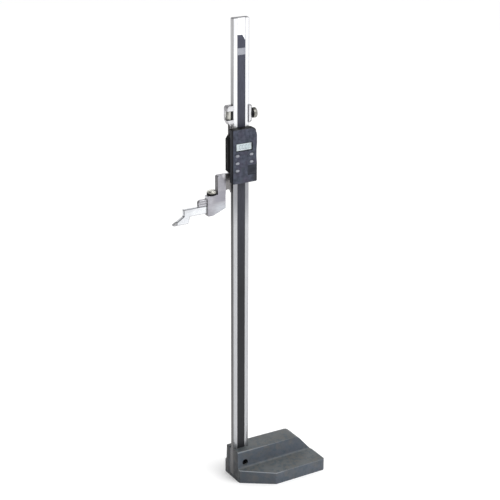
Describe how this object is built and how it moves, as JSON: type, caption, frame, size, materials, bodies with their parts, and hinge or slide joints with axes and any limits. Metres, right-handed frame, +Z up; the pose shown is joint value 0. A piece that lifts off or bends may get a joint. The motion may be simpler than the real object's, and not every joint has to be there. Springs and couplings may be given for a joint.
{
  "type": "digital height gauge",
  "caption": "Digital height gauge: steel column on a cast base, slider with display, scriber on a jaw arm, fine-adjust carriage.",
  "frame": {"origin": "on the ground under the middle of the column's section", "axes": "+Z up along the column, +X from the column along the base to its far end, away from the scriber, +Y to the back, away from the display"},
  "size_m": [0.2577, 0.1186, 0.79],
  "materials": {
    "base_paint": "fine-grained grey paint",
    "column_steel": "fine ground",
    "satin_steel": "satin chromed",
    "bright_steel": "fine ground",
    "nickel": "satin nickel plated",
    "dark_steel": "black oxide",
    "brass": "plain",
    "scale_film": "matt film",
    "label_film": "matt film",
    "housing_plastic": "fine grained",
    "black_plastic": "fine grained",
    "key_plastic": "satin",
    "window_plastic": "clear, gloss",
    "display_glass": "grey-blue liquid crystal",
    "board": "green solder mask",
    "rubber": "matt",
    "carbide": "ground carbide"
  },
  "bodies": {
    "base": {"base_casting": "base_paint", "column_clamp_plate": "satin_steel", "column_clamp_screw": "dark_steel", "column": "column_steel", "scale_strip": "scale_film", "scale_label": "label_film"},
    "carriage": {"fine_carriage": "satin_steel", "lock_pad": "brass", "lock_collar": "dark_steel"},
    "nut": {"fine_nut": "nickel"},
    "carriage_lock": {"carriage_lock_screw": "nickel"},
    "slider_lock": {"slider_lock_screw": "nickel"},
    "knob": {"clamp_knob": "nickel"},
    "scriber": {"scriber": "bright_steel", "scriber_tip": "carbide"},
    "lid": {"battery_lid": "black_plastic"},
    "key_upper_left": {"button_upper_left": "key_plastic"},
    "key_middle_left": {"button_middle_left": "key_plastic"},
    "key_lower_left": {"button_lower_left": "key_plastic"},
    "key_upper_right": {"button_upper_right": "key_plastic"},
    "key_middle_right": {"button_middle_right": "key_plastic"},
    "slider": {"slider_frame": "satin_steel", "gib_strip": "brass", "gib_screw_1": "dark_steel", "gib_screw_2": "dark_steel", "side_grip": "black_plastic", "grip_screw_1": "dark_steel", "grip_screw_2": "dark_steel", "fine_screw": "dark_steel", "housing_front": "housing_plastic", "housing_rear": "black_plastic", "shell_screw_1": "nickel", "shell_screw_2": "nickel", "shell_screw_3": "nickel", "shell_screw_4": "nickel", "circuit_board": "board", "reading_head": "board", "display_window": "window_plastic", "display_panel": "display_glass", "display_connector": "rubber", "key_mat": "rubber", "battery": "bright_steel", "battery_contact_back": "brass", "battery_contact_side": "brass", "clamp_shoe": "satin_steel", "clamp_washer": "dark_steel"}
  },
  "joints": [
    {"name": "slider_slide", "type": "slide", "parent": "base", "child": "slider", "axis": [0, 0, 1], "range_m": [-0.4756, 0.1244]},
    {"name": "fine_slide", "type": "slide", "parent": "slider", "child": "carriage", "axis": [0, 0, 1], "range_m": [-0.003, 0.003]},
    {"name": "nut_spin", "type": "hinge", "parent": "carriage", "child": "nut", "pos_m": [-0.0205, -0.0012, 0.63965], "axis": [0, 0, 1], "range_deg": [-2161, 2161]},
    {"name": "carriage_lock_turn", "type": "hinge", "parent": "carriage", "child": "carriage_lock", "pos_m": [0.0225, 0, 0.6381], "axis": [1, 0, 0], "range_deg": [-360, 360]},
    {"name": "slider_lock_turn", "type": "hinge", "parent": "slider", "child": "slider_lock", "pos_m": [0.0193, 0, 0.577], "axis": [1, 0, 0], "range_deg": [-360, 360]},
    {"name": "clamp_knob_turn", "type": "hinge", "parent": "slider", "child": "knob", "pos_m": [-0.0513, 0, 0.517], "axis": [0, 0, 1], "range_deg": [-360, 360]},
    {"name": "scriber_slide", "type": "slide", "parent": "slider", "child": "scriber", "axis": [1, 0, 0], "range_m": [-0.008, 0.003]},
    {"name": "lid_slide", "type": "slide", "parent": "slider", "child": "lid", "axis": [1, 0, 0], "range_m": [0, 0.014]},
    {"name": "press_upper_left", "type": "slide", "parent": "slider", "child": "key_upper_left", "axis": [0, 1, 0], "range_m": [0, 0.0004], "stiffness_N_per_m": 400, "springref_m": -0.001},
    {"name": "press_middle_left", "type": "slide", "parent": "slider", "child": "key_middle_left", "axis": [0, 1, 0], "range_m": [0, 0.0004], "stiffness_N_per_m": 400, "springref_m": -0.001},
    {"name": "press_lower_left", "type": "slide", "parent": "slider", "child": "key_lower_left", "axis": [0, 1, 0], "range_m": [0, 0.0004], "stiffness_N_per_m": 400, "springref_m": -0.001},
    {"name": "press_upper_right", "type": "slide", "parent": "slider", "child": "key_upper_right", "axis": [0, 1, 0], "range_m": [0, 0.0004], "stiffness_N_per_m": 400, "springref_m": -0.001},
    {"name": "press_middle_right", "type": "slide", "parent": "slider", "child": "key_middle_right", "axis": [0, 1, 0], "range_m": [0, 0.0004], "stiffness_N_per_m": 400, "springref_m": -0.001}
  ],
  "couplings": [
    {"joint": "nut_spin", "follows": "fine_slide", "rad_per_m": 12566}
  ]
}
